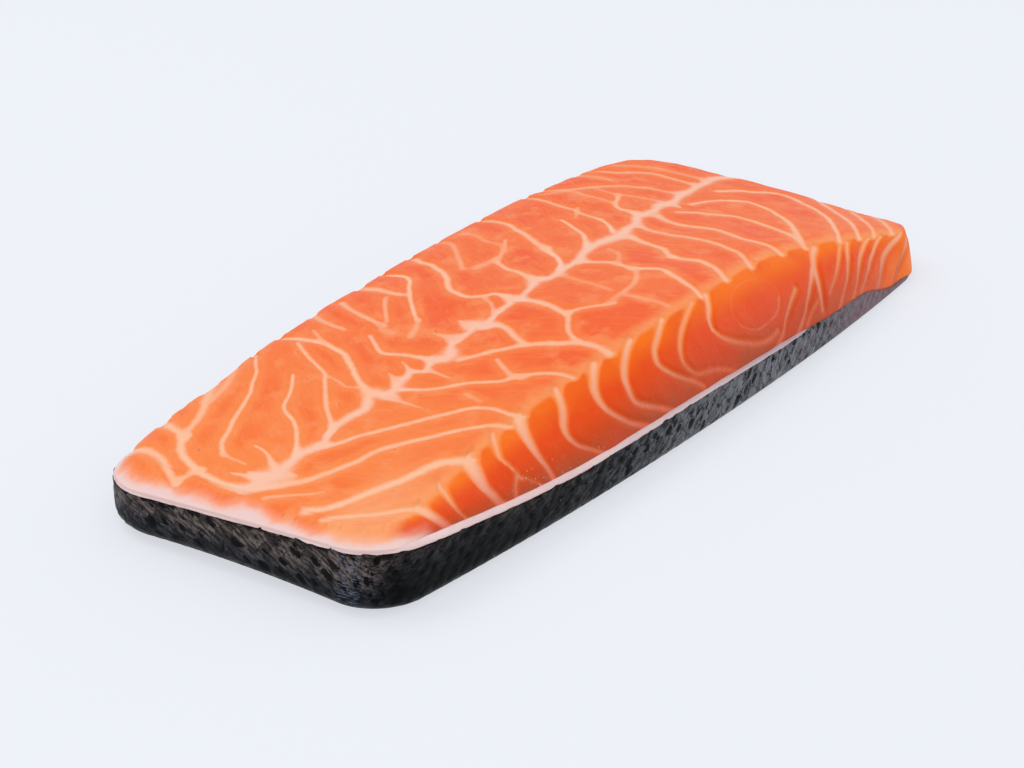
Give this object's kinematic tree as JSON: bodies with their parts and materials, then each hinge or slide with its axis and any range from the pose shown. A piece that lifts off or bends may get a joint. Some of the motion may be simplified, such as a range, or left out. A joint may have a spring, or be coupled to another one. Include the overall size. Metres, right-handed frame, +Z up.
{
  "type": "salmon fillet",
  "caption": "Raw salmon fillet lying on its skin: dark scaled skin wrapped up round the tail end and the sides, a pale fat layer, and orange flesh with a sloping cut front side.",
  "frame": {"origin": "on the flat underside, below the middle of the fillet's outer box", "axes": "+X from the tail end to the head end, +Y from the thick front side to the back, +Z up"},
  "size_m": [0.2504, 0.1052, 0.0291],
  "materials": {
    "flesh": "moist raw orange flesh with pale fat lines, soft satin gloss",
    "fat": "moist pale pink-white fat, soft satin gloss",
    "skin": "wet dark grey fish skin with small scales and black specks"
  },
  "bodies": {
    "root": {"flesh": "flesh", "fat_layer": "fat", "skin": "skin"}
  },
  "joints": []
}
